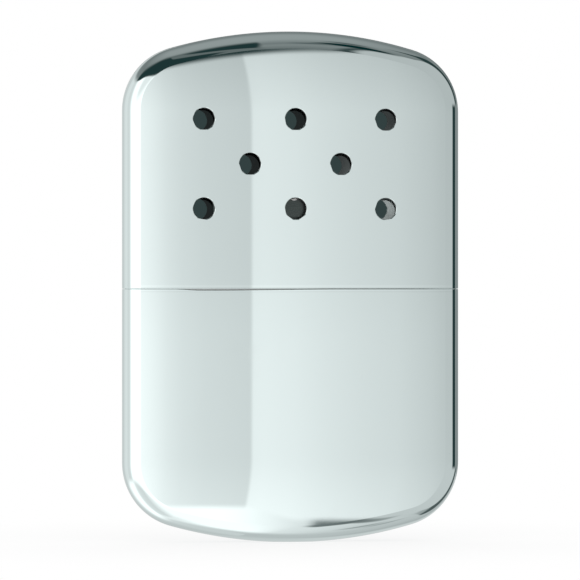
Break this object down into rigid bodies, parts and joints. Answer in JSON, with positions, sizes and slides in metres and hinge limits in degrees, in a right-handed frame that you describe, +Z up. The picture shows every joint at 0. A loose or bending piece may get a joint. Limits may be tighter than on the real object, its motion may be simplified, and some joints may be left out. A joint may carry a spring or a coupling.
{
  "type": "catalytic hand warmer",
  "caption": "Pocket catalytic hand warmer: slim curved chrome case, a vented lid that slides off the tank's neck, and a burner that lifts off the mouth of a wadding-filled tank.",
  "frame": {"origin": "middle of the small foot pressed flat in the base, which the closed case stands on", "axes": "+Z up the length from the tank to the lid, +X across the width, -Y out of the front face"},
  "size_m": [0.0668, 0.0126, 0.1001],
  "materials": {
    "chrome_case": "mirror polished plating",
    "nickel_plate": "satin nickel plating",
    "cotton_wadding": "loose fibre",
    "burner_steel": "satin, faint heat tint",
    "wire_gauze": "woven wire",
    "catalyst_fibre": "matted glass fibre"
  },
  "bodies": {
    "tank": {"tank_shell": "chrome_case", "tank_cap": "nickel_plate", "mouth_collar": "nickel_plate", "mouth_bridge": "nickel_plate", "wadding": "cotton_wadding"},
    "lid": {"lid_shell": "chrome_case"},
    "burner": {"burner_base": "burner_steel", "burner_cover": "burner_steel", "lower_screen": "wire_gauze", "upper_screen": "wire_gauze", "catalyst_mat": "catalyst_fibre"}
  },
  "joints": [
    {"name": "lid_lift", "type": "slide", "parent": "tank", "child": "lid", "axis": [0, 0, 1], "range_m": [0, 0.045]},
    {"name": "burner_lift", "type": "slide", "parent": "tank", "child": "burner", "axis": [0, 0, 1], "range_m": [0, 0.012]}
  ]
}
